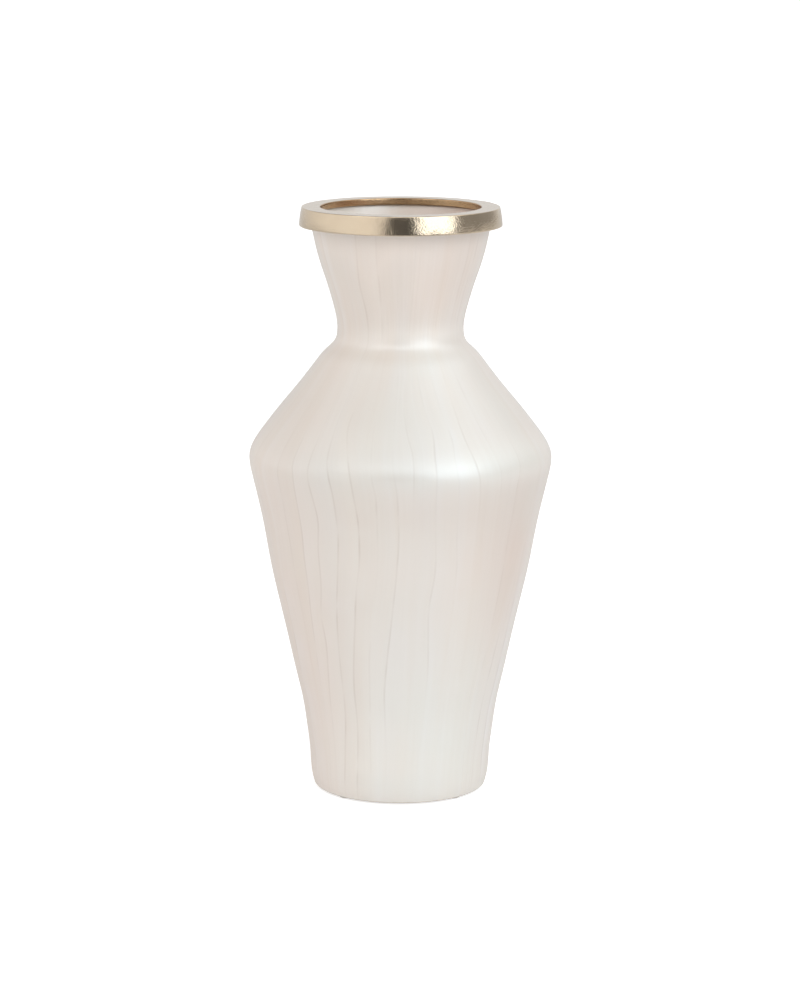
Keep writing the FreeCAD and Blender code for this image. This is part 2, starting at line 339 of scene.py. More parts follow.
# The pearl glaze isn't even: patches that are cooler or warmer, lighter or darker, run into each other.
# Many front patches are painted highlights and painted shade rather than glaze colour: painted highlights along the
# shoulder edge and at the neck root, painted brightening and painted shade just under the collar, painted shade on
# the right flank below the shoulder and round the lowest few millimetres of the foot.
# degrees, height, half width in degrees, half height, cool, light
LUSTRE_AND_PAINTED_LIGHT_PATCHES = [
    (-78, 110, 22, 120, -1.2, 0.1), (-48, 110, 12, 110, -0.5, 0.2), (-18, 120, 6, 110, 0.1, 0.8),
    (10, 60, 24, 50, 0.9, 0.0), (40, 50, 14, 45, 0.9, 0.2), (30, 205, 18, 30, -0.3, -0.8),
    (62, 180, 16, 50, -0.9, -1.7), (-15, 270, 16, 35, 0.5, -0.5), (22, 265, 22, 35, 0.9, -0.3),
    (58, 258, 12, 30, 0.7, 0.8), (-75, 255, 20, 30, 0.0, 0.4), (-18, 360, 7, 40, 0.0, 0.9),
    (28, 355, 12, 40, -0.1, 0.5), (0, 388, 60, 6, -0.2, 1.7), (-75, 240, 14, 12, 0.1, 0.9),
    (-78, 240, 10, 10, 0.0, 0.5), (32, 355, 30, 20, -0.3, 0.0), (-10, 306, 34, 8, 0.0, -0.5),
    (25, 350, 32, 32, -0.7, -0.4), (-55, 350, 22, 36, 0.1, 1.1), (56, 170, 14, 48, -0.7, -0.5),
    (-22, 240, 17, 7, 0.0, -1.5), (60, 248, 16, 9, 0.2, 1.3), (-42, 120, 14, 90, 0.0, 0.8),
    (0, 60, 30, 45, -0.1, 0.5), (28, 320, 30, 5, 0.0, 1.4), (68, 212, 26, 20, -0.5, -0.6),
    (-20, 378, 16, 14, -0.2, 1.0), (-6, 309, 10, 8, -0.5, -0.6), (-18, 285, 9, 20, -0.3, -0.7),
    (-30, 30, 30, 24, 0.3, 0.8), (50, 375, 26, 22, -0.6, -0.3), (-5, 12, 24, 8, 0.4, -0.9),
    (-32, 388, 32, 7, 0.0, 2.0), (30, 389, 30, 5, -0.3, -2.4), (15, 322, 38, 5, 0.2, 1.4), (62, 240, 22, 8, 0.6, 1.4),
    (25, 238, 45, 8, 0.6, 0.0), (5, 212, 22, 12, -0.4, -0.7), (22, 311, 28, 12, 0.8, -0.2), (5, 303, 35, 4, 0.2, 0.9), (70, 222, 18, 10, 0.0, -0.7), (0, 0, 180, 3.2, 0.0, -0.5), (15, 361, 7, 14, 0.1, 1.0),
    (-25, 372, 6, 18, 0.0, 0.8), (27, 240, 9, 5, 0.5, 1.4), (64, 208, 10, 14, 0.8, 0.0), (-45, 350, 30, 40, -0.5, 0.0),
]
patch_rng = np.random.default_rng(41)
LUSTRE_AND_PAINTED_LIGHT_PATCHES += [(patch_rng.uniform(98, 262), patch_rng.uniform(10, 395), patch_rng.uniform(9, 24), patch_rng.uniform(30, 90),
             patch_rng.uniform(-0.9, 0.9), patch_rng.uniform(-0.9, 0.7)) for _ in range(16)]


# inside the mouth: painted brightening on the back left wall and painted shade, darker and browner, on the back right
# wall; the third patch is slightly lighter and warmer, lower on the front right wall
INSIDE_PAINTED_LIGHT_AND_SHADE = [(208, 385, 26, 30, 0.0, 1.3), (122, 385, 40, 32, -4.5, -6.6), (20, 300, 40, 60, -0.5, 0.3)]


def lustre_and_painted_light(deg, z, patches=None):
    """Cool and lightness at one height, from the patch table: the glaze's own patches together with painted highlights
    and painted shade.
    """
    cool, light = 0.0, 0.0
    for a, h, wa, wz, c, l in patches or LUSTRE_AND_PAINTED_LIGHT_PATCHES:
        d = (deg - a + 180) % 360 - 180
        g = np.exp(-0.5 * (d / wa) ** 2 - 0.5 * ((z - h) / wz) ** 2)
        cool, light = cool + c * g, light + l * g
    return cool, light


# slow unevenness of the hand-finished surface, mm
wob = [(smooth_noise(7, 0.8, RNG, 2), RNG.uniform(0, 6.28), RNG.uniform(0.010, 0.022)) for _ in range(6)]


def unevenness(theta, z):
    t = 0
    for f, ph, q in wob:
        t = t + f(theta) * np.sin(z * q * 2 + ph)
    return t / math.sqrt(len(wob))


b = Builder()
UV_OUT = (0.0, 0.0, 1.0, 0.68)      # the outside takes most of the sheet
UV_IN = (0.0, 0.70, 0.72, 0.99)
UV_FOOT = (0.86, 0.85, 0.13)        # centre and half size of the underside's disc
run = np.r_[0, np.cumsum(np.hypot(np.diff(radius), np.diff(ZR)))]
run /= run[-1]


def polar(r, deg, z):
    t = np.radians(deg)
    return np.stack([r * np.sin(t), -r * np.cos(t), np.broadcast_to(z, np.shape(t)) + LIFT], -1)


def grain_of(deg, z):
    t = np.radians(deg)
    return np.stack([np.cos(t), np.sin(t), np.broadcast_to(z / 100.0, np.shape(t))], -1)


def uv_strip(rect, v, k):
    return np.stack([rect[0] + (rect[2] - rect[0]) * np.linspace(0, 1, k + 1),
                     np.full(k + 1, rect[1] + (rect[3] - rect[1]) * v)], 1)


def uv_cols(deg, v):
    full = np.r_[deg, deg[0] + 360]
    u = (full - straight[0]) / 360.0
    return np.stack([np.clip(UV_OUT[0] + (UV_OUT[2] - UV_OUT[0]) * u, 0, 1),
                     np.full(NC + 1, UV_OUT[1] + (UV_OUT[3] - UV_OUT[1]) * v)], 1)


def tone_row(i):
    """Tone of the strip between two veins: it steps at the vein and evens out towards the next."""
    a = lap_tone[veinid]
    c = lap_tone[(veinid + 1) % NV]
    s = STRENGTH[i]
    t = np.where(kind < 5, a * np.clip(kind * 0.5 + 0.5, 0, 1) + lap_tone[(veinid - 1) % NV] * 0.35 * np.clip(0.5 - kind * 0.5, 0, 1),
                 a * (1 - 0.65 * frac))
    return t * (0.25 + 0.75 * s[veinid])


outer = []
for i, z in enumerate(ZR):
    s = STRENGTH[i][veinid]
    groove = DEPTH * core * s * width[veinid]
    # the glaze swells slightly between two veins and beside each groove
    swell = np.where(kind > 5, 0.05 * np.sin(np.pi * frac), 0.0) * (0.3 + 0.7 * s)
    edge = np.where(np.abs(kind) == 1.0, 0.02, 0.0) * s
    t = np.radians(COLS[i])
    fade = np.clip(min((400 - z) / 20, (z - 1.77) / 8), 0, 1)
    off = (-groove + swell + edge) * fade + 0.10 * unevenness(t, z) * np.clip((z - 1.77) / 15, 0, 1) * np.clip((400 - z) / 12, 0, 1)
    n = math.hypot(1.0, slope[i])
    # the patches' cool and lightness here carry painted highlights and painted shade as well as glaze colour
    cool, light = lustre_and_painted_light(COLS[i], z)
    ids = b.ring(polar(radius[i] + off / n, COLS[i], z - off * slope[i] / n), cool=cool, light=light,
                 vein=core * s * (0.6 + 0.4 * width[veinid]), tone=tone_row(i), zone=0.0, grain=grain_of(straight, z))
    outer.append(ids)
for i in range(len(ZR) - 1):
    b.quads(outer[i], outer[i + 1], uv_cols(straight, run[i]), uv_cols(straight, run[i + 1]))

# lip, inside and floor: plain columns
NI = 120
even = np.linspace(0, 360, NI, endpoint=False) + straight[0]
lip_o = np.array([radius[-1], 400.0])
lip_i = np.array([radius[-1] - WALL / math.cos(math.radians(11)), 400.0])
rows = [lip_o + (LIP_ROUND * (math.cos(math.radians(t)) - 1), LIP_ROUND * math.sin(math.radians(t))) for t in (25, 50, 72, 90)]
rows += [lip_i + (LIP_ROUND * (1 - math.cos(math.radians(t))), LIP_ROUND * math.sin(math.radians(t))) for t in (90, 72, 50, 25, 0)]
zi = np.array([z for z in ZR[::-1] if 28 < z < 396])
ri, si = side(zi), side(zi, 1)
n = np.hypot(1, si)
inside = np.stack([ri - WALL / n, zi + WALL * si / n], 1)
inside = inside[inside[:, 1] > 26.5]
wall_r = inside[-1][0] - 0.35
corner = arc((wall_r - CORNER_R, FLOOR_Z + CORNER_R), CORNER_R, 0, -90, 9)
floor_rows = np.stack([np.linspace(corner[-1][0], 0.0, 7)[1:-1], np.full(5, FLOOR_Z)], 1)
rows = np.array(list(rows) + list(inside) + list(corner) + list(floor_rows))
swirl = smooth_noise(5, 0.6, RNG, 2)


def plain_ring(r, z, zone, wobble=0.0):
    t = np.radians(even)
    # painted brightening and painted shade inside the mouth, from the inside patches
    cool, light = lustre_and_painted_light(even, z, INSIDE_PAINTED_LIGHT_AND_SHADE)
    return b.ring(polar(r + wobble * swirl(t + z * 0.02), even, z), vein=0.0, tone=0.3 * math.sin(z * 0.05), zone=zone,
                  grain=grain_of(even, z), cool=cool, light=light)


length = np.r_[0, np.cumsum(np.hypot(*np.diff(rows, axis=0).T))]
length = 0.02 + 0.97 * length / length[-1]
prev, prev_uv = None, None
for (r, z), l in zip(rows, length):
    inner_wob = 0.16 if 20 < z < 395 and r < 101 else 0.0
    ids = plain_ring(r, z, 1.0, inner_wob)
    uv = uv_strip(UV_IN, l, NI)
    if prev is None:
        b.bridge(outer[-1], np.radians(COLS[-1]), ids, np.radians(even), uv_strip(UV_IN, 0.0, NC), uv)
    else:
        b.quads(prev, ids, prev_uv, uv)
    prev, prev_uv = ids, uv
c = b.ring(np.array([[0, 0, FLOOR_Z + LIFT]]), vein=0.0, tone=0.0, zone=1.0, grain=np.array([[0, 0, 0.0]]))
b.fan(prev, c[0], prev_uv, np.array([(UV_IN[0] + UV_IN[2]) / 2, UV_IN[3] + 0.004]))

# foot: rounded edge, flat, recess
foot = [p for p in arc((57.6, 2.5), 2.5, -17, -90, 7)[1:]]
foot += [np.array([x, 0.0]) for x in np.linspace(57.6, 45.0, 7)[1:]]
foot += list(arc((45.0, 1.5), 1.5, 270, 180, 6)[1:])
foot += list(arc((41.0, 2.5), 2.5, 0, 90, 7))
foot += [np.array([x, RECESS_H]) for x in (35, 27, 18, 9)]
rough = smooth_noise(60, 0.3, RNG, 6)


def uv_disc(r, deg_full):
    t = np.radians(deg_full)
    q = UV_FOOT[2] * r / 60.5
    return np.stack([UV_FOOT[0] + q * np.sin(t), UV_FOOT[1] + q * np.cos(t)], 1)


prev = None
for r, z in foot:
    t = np.radians(even)
    # the unglazed flat is very slightly uneven
    dz = 0.03 * (rough(t + r) + 1.6) if 45.5 < r < 57.4 and z < 0.01 else 0.0
    ids = b.ring(polar(np.full(NI, r), even, z + dz), vein=0.0, tone=0.0, zone=2.0 if z < RECESS_H - 1.2 or r > 43 else 3.0, grain=grain_of(even, z))
    uv = uv_disc(r + (4 if z > 0.5 and r > 50 else 0) * 0.0, np.r_[even, even[0] + 360])
    if prev is None:
        b.bridge(outer[0], np.radians(COLS[0]), ids, np.radians(even), uv_disc(60.5, np.r_[COLS[0], COLS[0][0] + 360]), uv)
        # the bridge is built outside-up, so turn its faces over
        k = len(outer[0]) + NI
        b.f[-k:] = [t[::-1] for t in b.f[-k:]]
        flip = b.uv[-3 * k:]
        b.uv[-3 * k:] = [flip[3 * i + 2 - j] for i in range(k) for j in range(3)]
    else:
        b.quads(ids, prev, uv, prev_uv)
    prev, prev_uv = ids, uv
c = b.ring(np.array([[0, 0, RECESS_H + LIFT]]), vein=0.0, tone=0.0, zone=3.0, grain=np.array([[0, 0, 0.0]]))
b.fan(prev, c[0], prev_uv, np.array([UV_FOOT[0], UV_FOOT[1]]), flip=True)
vase = b.mesh("vase_shell")


# ------------------------------------------------------------------ rim collar
def collar_section():
    top, low, under, ri, rb, ra, ro = 406.0, 393.1, 401.4, 55.2, 64.6, 68.0, 69.7

    def three(a, m, c, k):
        a, m, c = map(np.array, (a, m, c))
        d = 2 * (a[0] * (m[1] - c[1]) + m[0] * (c[1] - a[1]) + c[0] * (a[1] - m[1]))
        ux = ((a @ a) * (m[1] - c[1]) + (m @ m) * (c[1] - a[1]) + (c @ c) * (a[1] - m[1])) / d
        uz = ((a @ a) * (c[0] - m[0]) + (m @ m) * (a[0] - c[0]) + (c @ c) * (m[0] - a[0])) / d
        o = np.array([ux, uz])
        t0, t1 = math.atan2(*(a - o)[::-1]), math.atan2(*(c - o)[::-1])
        tm = math.atan2(*(m - o)[::-1])
        if not (min(t0, t1) <= tm <= max(t0, t1)):
            t1 += 2 * math.pi * (1 if t1 < t0 else -1)
        t = np.linspace(t0, t1, k)
        return np.stack([ux + np.linalg.norm(a - o) * np.cos(t), uz + np.linalg.norm(a - o) * np.sin(t)], 1)

    p = [np.stack([np.full(6, ri), np.linspace(under + 0.5, top - 0.6, 6)], 1)]
    p.append(arc((ri + 0.6, top - 0.6), 0.6, 180, 90, 6)[1:])
    p.append(np.stack([np.linspace(ri + 0.6, ra - 0.5, 18)[1:], np.full(17, top)], 1))
    p.append(arc((ra - 0.5, top - 0.5), 0.5, 90, 0, 6)[1:])
    p.append(three((ra, top - 0.5), (69.15, top - 6.6), (ro, low + 0.5), 20)[1:])
    p.append(arc((ro - 0.5, low + 0.5), 0.5, 0, -90, 6)[1:])
    p.append(np.array([(67.9, low), (66.9, low), (65.9, low)]))
    p.append(arc((rb + 0.6, low + 0.6), 0.6, 270, 180, 5))
    p.append(np.array([(rb, z) for z in (395.5, 398.0, under - 0.5)]))
    p.append(arc((rb - 0.5, under - 0.5), 0.5, 0, 90, 4)[1:])
    p.append(np.array([(r, under) for r in (62.0, 59.5, 57.5, ri + 0.5)]))
    p.append(arc((ri + 0.5, under + 0.5), 0.5, 270, 180, 4)[1:-1])
    return np.concatenate(p)


def lattice(nu, nv, rng, octaves, along=None):
    """Smooth random field on a grid periodic in the first direction: sum of resampled random grids."""
    out = np.zeros((nu, nv))
    for gu, gv, amp in octaves:
        g = rng.normal(size=(gu, gv + 3))
        u = np.arange(nu) / nu * gu
        v = (np.arange(nv) / max(nv - 1, 1) if along is None else along) * gv
        iu, iv = u.astype(int), np.minimum(v.astype(int), gv - 1)
        fu, fv = (u - iu)[:, None], (v - iv)[None, :]
        fu, fv = fu * fu * (3 - 2 * fu), fv * fv * (3 - 2 * fv)
        a = g[iu % gu][:, iv] * (1 - fv) + g[iu % gu][:, iv + 1] * fv
        c = g[(iu + 1) % gu][:, iv] * (1 - fv) + g[(iu + 1) % gu][:, iv + 1] * fv
        out += amp * (a * (1 - fu) + c * fu)
    return out


sec = collar_section()
nxt, prv = np.roll(sec, -1, 0), np.roll(sec, 1, 0)
tan = nxt - prv
nrm = np.stack([-tan[:, 1], tan[:, 0]], 1) / np.linalg.norm(tan, axis=1)[:, None]   # outward of the section
seclen = np.r_[0, np.cumsum(np.linalg.norm(np.diff(np.r_[sec, sec[:1]], axis=0), axis=1))]
NRC = 840
cast = lattice(NRC, len(sec), RNG, [(60, 9, 0.030), (170, 25, 0.008), (400, 60, 0.004)], seclen[:-1] / seclen[-1])
touch = (sec[:, 0] < 64.7) & (sec[:, 1] < 401.5) & (sec[:, 0] > 55.8) | (np.abs(sec[:, 0] - 64.6) < 0.05)
cast[:, touch] = 0.0
cast[:, ~touch] -= 0.02
r = Builder()
deg = np.linspace(0, 360, NRC, endpoint=False)
rings = []
for j, ((rr, zz), (nr, nz)) in enumerate(zip(sec, nrm)):
    rings.append(r.ring(polar(rr + cast[:, j] * nr, deg, zz + cast[:, j] * nz), grain=grain_of(deg, zz)))
for j in range(len(sec)):
    k = (j + 1) % len(sec)
    ua = np.stack([np.linspace(0, 1, NRC + 1), np.full(NRC + 1, seclen[j] / seclen[-1] * 0.98 + 0.01)], 1)
    ub = np.stack([np.linspace(0, 1, NRC + 1), np.full(NRC + 1, seclen[j + 1] / seclen[-1] * 0.98 + 0.01)], 1)
    r.quads(rings[k], rings[j], ub, ua)
collar = r.mesh("collar_casting")


# ------------------------------------------------------------------ felt pads
def felt_pads():
    f = Builder()
    nr, na = 16, 72
    for q in range(4):
        a = math.radians(45 + 90 * q)
        cx, cy = 51.3 * math.cos(a), 51.3 * math.sin(a)
        edge = smooth_noise(24, 0.35, RNG, 5)
        fuzz = lattice(na, nr * 2 + 8, RNG, [(30, 14, 0.03), (72, 30, 0.018)])
        prof = [(0.0, 1.2), (2.5, 1.2), (4.6, 1.2), (5.3, 1.19), (5.5, 1.06), (5.56, 0.8), (5.55, 0.5), (5.48, 0.25),
                (5.3, 0.08), (5.0, 0.02), (4.4, 0.0), (3.6, 0.0), (2.8, 0.0), (2.0, 0.0), (1.2, 0.0), (0.5, 0.0), (0.0, 0.0)]
        t = np.linspace(0, 2 * np.pi, na, endpoint=False)
        prev = None
        ox, oy = 0.26 + 0.5 * (q % 2), 0.26 + 0.5 * (q // 2)
        k = 0.22
        for i, (pr, pz) in enumerate(prof):
            inplane = 0.06 * edge(t) * (1.0 if 0.05 < pz < 1.15 else 0.4) if pr > 3 else 0.0
            lift = np.abs(fuzz[:, i]) * (0.9 if pz < 0.03 else 0.0)
            u = np.r_[t, 2 * np.pi]
            rad = 1.0 - i / (len(prof) - 1) * 0.95
            uv = np.stack([ox + k * rad * np.cos(u), oy + k * rad * np.sin(u)], 1)
            if pr == 0.0:
                c = f.ring(np.array([[cx, cy, pz]]))
                if prev is None:
                    top_c = c[0]
                    top_uv = np.array([ox, oy])
                    first = True
                    continue
                f.fan(prev, c[0], prev_uv, uv[0], flip=True)
                continue
            rr2 = pr + inplane - np.abs(fuzz[:, i]) * (0.5 if 0.05 < pz < 1.15 else 0.0)
            ids = f.ring(np.stack([cx + rr2 * np.cos(t), cy + rr2 * np.sin(t), np.full(na, pz) + lift], 1))
            if prev is None:
                f.fan(ids, top_c, uv, top_uv)
            else:
                f.quads(ids, prev, uv, prev_uv)
            prev, prev_uv = ids, uv
    return f.mesh("felt_discs")


pads = felt_pads()

for o, node, s in ((vase, "vase_body", "porcelain"), (collar, "rim_collar", "collar_metal"), (pads, "foot_pads", "felt")):
    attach(o, "root")
    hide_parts(node)


# ------------------------------------------------------------------ materials
def material(name):
    m = bpy.data.materials.new(name)
    m.use_nodes = True
    nt = m.node_tree
    nt.nodes.clear()
    out = nt.nodes.new("ShaderNodeOutputMaterial")
    p = nt.nodes.new("ShaderNodeBsdfPrincipled")
    nt.links.new(p.outputs[0], out.inputs[0])
    return m, nt, p


def N(nt, kind, **kw):
    n = nt.nodes.new(kind)
    for k, v in kw.items():
        if k.startswith("i_"):
            key = k[2:]
            key = int(key) if key.isdigit() else key
            n.inputs[key].default_value = v
        else:
            setattr(n, k, v)
    return n


def math_node(nt, op, a, c=None, clamp=False):
    n = nt.nodes.new("ShaderNodeMath")
    n.operation = op
    n.use_clamp = clamp
    for i, x in enumerate((a, c)):
        if x is None:
            continue
        if isinstance(x, (int, float)):
            n.inputs[i].default_value = x
        else:
            nt.links.new(x, n.inputs[i])
    return n.outputs[0]


def mix_color(nt, fac, a, c, mode="MIX"):
    n = nt.nodes.new("ShaderNodeMix")
    n.data_type = "RGBA"
    n.blend_type = mode
    n.clamp_factor = True
    for i, x in ((0, fac), (6, a), (7, c)):
        if isinstance(x, (int, float)):
            n.inputs[i].default_value = x
        elif isinstance(x, tuple):
            n.inputs[i].default_value = x if len(x) == 4 else (*x, 1)
        else:
            nt.links.new(x, n.inputs[i])
    return n.outputs[2]


def attribute(nt, name, vector=False):
    n = nt.nodes.new("ShaderNodeAttribute")
    n.attribute_name = name
    return n.outputs["Vector" if vector else "Fac"]


def scaled(nt, vec, s):
    n = nt.nodes.new("ShaderNodeMapping")
    n.inputs["Scale"].default_value = s
    nt.links.new(vec, n.inputs["Vector"])
    return n.outputs[0]


def noise(nt, vec, scale, detail=3.0, rough=0.55, dist=0.0):
    n = nt.nodes.new("ShaderNodeTexNoise")
    n.inputs["Scale"].default_value = scale
    n.inputs["Detail"].default_value = detail
    n.inputs["Roughness"].default_value = rough
    n.inputs["Distortion"].default_value = dist
    nt.links.new(vec, n.inputs["Vector"])
    return n.outputs["Fac"]


def span(nt, x, lo, hi, a=0.0, c=1.0):
    n = nt.nodes.new("ShaderNodeMapRange")
    n.clamp = True
    nt.links.new(x, n.inputs[0])
    for i, val in enumerate((lo, hi, a, c)):
        n.inputs[i + 1].default_value = val
    return n.outputs[0]


def bump(nt, height, strength, distance, normal=None):
    n = nt.nodes.new("ShaderNodeBump")
    n.inputs["Strength"].default_value = strength
    n.inputs["Distance"].default_value = distance
    nt.links.new(height, n.inputs["Height"])
    if normal is not None:
        nt.links.new(normal, n.inputs["Normal"])
    return n.outputs[0]


# pearl glaze on porcelain, with the bare foot and the recess in the same piece
PEARL = (0.735, 0.652, 0.590)
m, nt, p = material("pearl_glaze")
obj = N(nt, "ShaderNodeTexCoord").outputs["Object"]
grain = attribute(nt, "grain", True)
vein_a, tone, zone = attribute(nt, "vein"), attribute(nt, "tone"), attribute(nt, "zone")
# streaks that run with the veins
wide = noise(nt, scaled(nt, grain, (3.2, 3.2, 0.55)), 1.0, 3.0, 0.5)
fine = noise(nt, scaled(nt, grain, (26.0, 26.0, 0.9)), 1.0, 4.0, 0.6, 0.4)
hair = noise(nt, scaled(nt, grain, (95.0, 95.0, 1.6)), 1.0, 2.0, 0.6)
cloud = noise(nt, obj, 22.0, 3.0, 0.5)
col = mix_color(nt, span(nt, wide, 0.36, 0.66), (0.752, 0.652, 0.568), (0.748, 0.668, 0.600))
col = mix_color(nt, span(nt, cloud, 0.35, 0.70, 0.0, 0.55), col, (0.742, 0.672, 0.591))
col = mix_color(nt, span(nt, fine, 0.52, 0.78, 0.0, 0.18), col, (0.690, 0.588, 0.505))
col = mix_color(nt, span(nt, fine, 0.44, 0.20, 0.0, 0.18), col, (0.790, 0.725, 0.680))
col = mix_color(nt, span(nt, hair, 0.58, 0.80, 0.0, 0.08), col, (0.610, 0.505, 0.425))
col = mix_color(nt, span(nt, tone, 0.0, 2.0, 0.0, 0.55), col, (0.700, 0.598, 0.515))
col = mix_color(nt, span(nt, tone, 0.0, -2.0, 0.0, 0.55), col, (0.790, 0.735, 0.700))
col = mix_color(nt, span(nt, vein_a, 0.03, 0.95, 0.0, 0.31), col, (0.470, 0.365, 0.290))
# inside: plain clear glaze, without veins
inside_m = math_node(nt, "COMPARE", zone, 1.0)
inside_m.node.inputs[2].default_value = 0.5
col = mix_color(nt, inside_m, col, mix_color(nt, span(nt, cloud, 0.3, 0.7), (0.845, 0.775, 0.690), (0.865, 0.805, 0.735)))
# patch attributes multiplied into the colour: cooler, warmer, lighter and darker glaze, together with painted
# highlights and painted shade outside and inside the mouth
cool, light = attribute(nt, "cool"), attribute(nt, "light")
col = mix_color(nt, span(nt, cool, 0.0, 2.0), col, (0.970, 1.076, 1.120), "MULTIPLY")
col = mix_color(nt, span(nt, cool, 0.0, -6.0), col, (1.0, 0.715, 0.580), "MULTIPLY")
col = mix_color(nt, span(nt, light, 0.0, 2.0), col, (1.08, 1.08, 1.08), "MULTIPLY")
col = mix_color(nt, span(nt, light, 0.0, -6.0), col, (0.775, 0.775, 0.775), "MULTIPLY")
# recess under the foot: clear glaze over white body
rec_m = math_node(nt, "GREATER_THAN", zone, 2.6)
speck = noise(nt, obj, 900.0, 2.0, 0.6)
col = mix_color(nt, rec_m, col, mix_color(nt, span(nt, speck, 0.62, 0.74, 0.0, 0.5), (0.72, 0.69, 0.65), (0.45, 0.38, 0.31)))
# bare biscuit flat of the foot ring, with the glaze's edge above it
sep = N(nt, "ShaderNodeSeparateXYZ")
nt.links.new(obj, sep.inputs[0])
height = math_node(nt, "SUBTRACT", sep.outputs["Z"], LIFT * MM)
ragged = noise(nt, scaled(nt, obj, (60.0, 60.0, 60.0)), 1.0, 4.0, 0.6)
edge_h = math_node(nt, "ADD", math_node(nt, "MULTIPLY", ragged, 0.0016), 0.0002)
bare = math_node(nt, "LESS_THAN", height, edge_h)
isfoot = math_node(nt, "COMPARE", zone, 2.0)
isfoot.node.inputs[2].default_value = 0.55
bare = math_node(nt, "MULTIPLY", bare, isfoot, True)
sand = noise(nt, obj, 1500.0, 3.0, 0.7)
biscuit = mix_color(nt, span(nt, sand, 0.35, 0.7), (0.57, 0.50, 0.43), (0.71, 0.64, 0.56))
col = mix_color(nt, bare, col, biscuit)
nt.links.new(col, p.inputs["Base Color"])
# satin pearl lustre: rougher in the streaks, duller in the veins and on the bare foot
rough = math_node(nt, "ADD", span(nt, fine, 0.3, 0.7, 0.41, 0.48), span(nt, vein_a, 0.1, 0.9, 0.0, 0.16))
rough = math_node(nt, "ADD", rough, span(nt, cloud, 0.3, 0.7, -0.02, 0.03))
rough = math_node(nt, "MAXIMUM", rough, math_node(nt, "MULTIPLY", bare, 0.88))
nt.links.new(rough, p.inputs["Roughness"])
p.inputs["Metallic"].default_value = 0.0
p.inputs["IOR"].default_value = 1.75
p.inputs["Specular IOR Level"].default_value = 0.85
p.inputs["Specular Tint"].default_value = (0.80, 0.93, 1.0, 1.0)
p.inputs["Coat Weight"].default_value = 0.45
p.inputs["Coat Roughness"].default_value = 0.24
p.inputs["Coat IOR"].default_value = 1.6
orange = noise(nt, obj, 330.0, 2.0, 0.5)
slow = noise(nt, scaled(nt, grain, (9.0, 9.0, 1.4)), 1.0, 2.0, 0.5)
nb = bump(nt, orange, 0.10, 0.0004)
nb = bump(nt, slow, 0.25, 0.0012, nb)
nb = bump(nt, hair, 0.05, 0.0003, nb)
nb = bump(nt, math_node(nt, "MULTIPLY", sand, bare), 0.6, 0.0004, nb)
nt.links.new(nb, p.inputs["Normal"])
vase.data.materials.append(m)

# cast collar metal: pale champagne, fine sand texture
m, nt, p = material("champagne_casting")
obj = N(nt, "ShaderNodeTexCoord").outputs["Object"]
big = noise(nt, obj, 60.0, 3.0, 0.5)
pit = noise(nt, obj, 980.0, 2.0, 0.5)
dot = noise(nt, obj, 1500.0, 2.0, 0.6)
col = mix_color(nt, span(nt, big, 0.35, 0.65), (0.618, 0.505, 0.372), (0.645, 0.531, 0.395))
col = mix_color(nt, span(nt, pit, 0.58, 0.80, 0.0, 0.12), col, (0.600, 0.460, 0.290))
# the bore is browner and darker than the polished outside
sep = N(nt, "ShaderNodeSeparateXYZ")
nt.links.new(obj, sep.inputs[0])
rr = math_node(nt, "SQRT", math_node(nt, "ADD", math_node(nt, "MULTIPLY", sep.outputs["X"], sep.outputs["X"]),
                                     math_node(nt, "MULTIPLY", sep.outputs["Y"], sep.outputs["Y"])))
col = mix_color(nt, span(nt, rr, 0.0560, 0.0554, 0.0, 1.0), col, (0.560, 0.390, 0.235))
nt.links.new(col, p.inputs["Base Color"])
p.inputs["Metallic"].default_value = 1.0
nt.links.new(math_node(nt, "ADD", span(nt, pit, 0.3, 0.75, 0.11, 0.15), span(nt, big, 0.3, 0.7, -0.01, 0.02)), p.inputs["Roughness"])
# the flat top is rubbed smoother than the sides
grit = span(nt, sep.outputs["Z"], 0.4066, 0.4070, 1.0, 0.15)
nb = bump(nt, math_node(nt, "MULTIPLY", pit, grit), 1.0, 0.00012)
nb = bump(nt, math_node(nt, "MULTIPLY", dot, grit), 0.6, 0.00005, nb)
nt.links.new(nb, p.inputs["Normal"])
collar.data.materials.append(m)

# cured epoxy
m, nt, p = material("cured_epoxy")
obj = N(nt, "ShaderNodeTexCoord").outputs["Object"]
a = noise(nt, obj, 120.0, 4.0, 0.6)
bub = N(nt, "ShaderNodeTexVoronoi")
bub.inputs["Scale"].default_value = 900.0
nt.links.new(obj, bub.inputs["Vector"])
col = mix_color(nt, span(nt, a, 0.35, 0.65), (0.58, 0.50, 0.37), (0.70, 0.64, 0.52))
col = mix_color(nt, span(nt, bub.outputs["Distance"], 0.10, 0.0, 0.0, 0.6), col, (0.35, 0.28, 0.18))
nt.links.new(col, p.inputs["Base Color"])
nt.links.new(span(nt, a, 0.3, 0.7, 0.35, 0.6), p.inputs["Roughness"])
nt.links.new(bump(nt, a, 0.5, 0.0004), p.inputs["Normal"])
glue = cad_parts["rim_adhesive"]
glue.data.materials.clear()
glue.data.materials.append(m)

# felt
m, nt, p = material("wool_felt")
obj = N(nt, "ShaderNodeTexCoord").outputs["Object"]
fib = noise(nt, obj, 2600.0, 4.0, 0.75, 1.2)
clump = noise(nt, obj, 420.0, 3.0, 0.6)
col = mix_color(nt, span(nt, clump, 0.3, 0.7), (0.52, 0.48, 0.43), (0.66, 0.62, 0.57))
col = mix_color(nt, span(nt, fib, 0.45, 0.75, 0.0, 0.6), col, (0.80, 0.77, 0.72))
nt.links.new(col, p.inputs["Base Color"])
p.inputs["Roughness"].default_value = 0.95
p.inputs["Sheen Weight"].default_value = 0.5
p.inputs["Sheen Roughness"].default_value = 0.5
nt.links.new(bump(nt, fib, 0.9, 0.0003), p.inputs["Normal"])
pads.data.materials.append(m)

